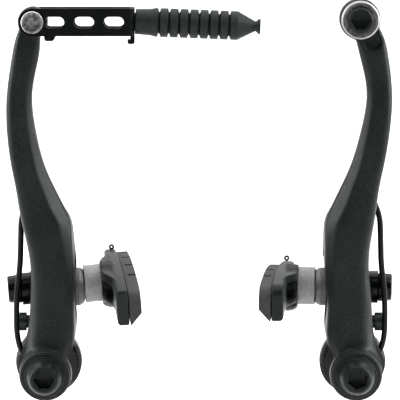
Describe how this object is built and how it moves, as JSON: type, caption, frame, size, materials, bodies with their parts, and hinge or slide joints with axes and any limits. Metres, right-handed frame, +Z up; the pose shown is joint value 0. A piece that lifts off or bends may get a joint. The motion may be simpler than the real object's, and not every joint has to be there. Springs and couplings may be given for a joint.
{
  "type": "v brake",
  "caption": "Linear-pull bicycle rim brake: a pair of sprung black arms on pivot bolts, with cartridge shoes on domed washers, a cable clamp, and a hinged cable link with a bellows boot.",
  "frame": {"origin": "midway between the two pivot axes, in the plane of the frame's shoulders", "axes": "+Z up along the arms, +Y towards the frame that carries the studs, +X to the clamp's side"},
  "size_m": [0.1134, 0.0693, 0.1184],
  "materials": {
    "arm_black": "satin",
    "black_steel": "satin",
    "bright_steel": "satin",
    "rivet_steel": "brushed",
    "sheet_black": "satin",
    "cap_plastic": "gloss",
    "dark_washer": "satin",
    "grey_spacer": "matte",
    "holder_grey": "matte",
    "pad_rubber": "matte",
    "boot_rubber": "matte"
  },
  "bodies": {
    "pivots": {"left_pivot_bush": "bright_steel", "left_pivot_ring": "black_steel", "left_mounting_bolt": "black_steel", "left_spring_cap": "cap_plastic", "left_return_spring": "black_steel", "right_pivot_bush": "bright_steel", "right_pivot_ring": "black_steel", "right_mounting_bolt": "black_steel", "right_spring_cap": "cap_plastic", "right_return_spring": "black_steel"},
    "left_lever": {"left_arm": "arm_black", "left_spring_peg": "black_steel", "left_tension_screw": "black_steel", "left_inner_convex_washer": "dark_washer", "left_outer_convex_washer": "dark_washer", "left_inner_spacer": "grey_spacer", "left_outer_concave_washer": "dark_washer", "left_shoe_nut": "black_steel", "left_shoe_holder": "holder_grey", "left_brake_pad": "pad_rubber", "left_pad_pin": "bright_steel"},
    "right_lever": {"right_arm": "arm_black", "right_spring_peg": "black_steel", "right_tension_screw": "black_steel", "right_inner_convex_washer": "dark_washer", "right_outer_convex_washer": "dark_washer", "right_inner_spacer": "grey_spacer", "right_outer_concave_washer": "dark_washer", "right_shoe_nut": "black_steel", "right_shoe_holder": "holder_grey", "right_brake_pad": "pad_rubber", "right_pad_pin": "bright_steel", "anchor_plate": "rivet_steel", "anchor_bolt": "black_steel"},
    "cable_link": {"link_bracket": "sheet_black", "link_rivet": "rivet_steel", "cable_boot": "boot_rubber"}
  },
  "joints": [
    {"name": "left_pivot", "type": "hinge", "parent": "pivots", "child": "left_lever", "pos_m": [-0.045, 0, 0], "axis": [0, -1, 0], "range_deg": [-6, 25], "stiffness_Nm_per_rad": 0.4, "deforming": ["left_return_spring"]},
    {"name": "right_pivot", "type": "hinge", "parent": "pivots", "child": "right_lever", "pos_m": [0.045, 0, 0], "axis": [0, 1, 0], "range_deg": [-6, 25], "stiffness_Nm_per_rad": 0.4, "deforming": ["right_return_spring"]},
    {"name": "link_pivot", "type": "hinge", "parent": "left_lever", "child": "cable_link", "pos_m": [-0.0481, 0, 0.102], "axis": [0, -1, 0], "range_deg": [-60, 90]}
  ]
}
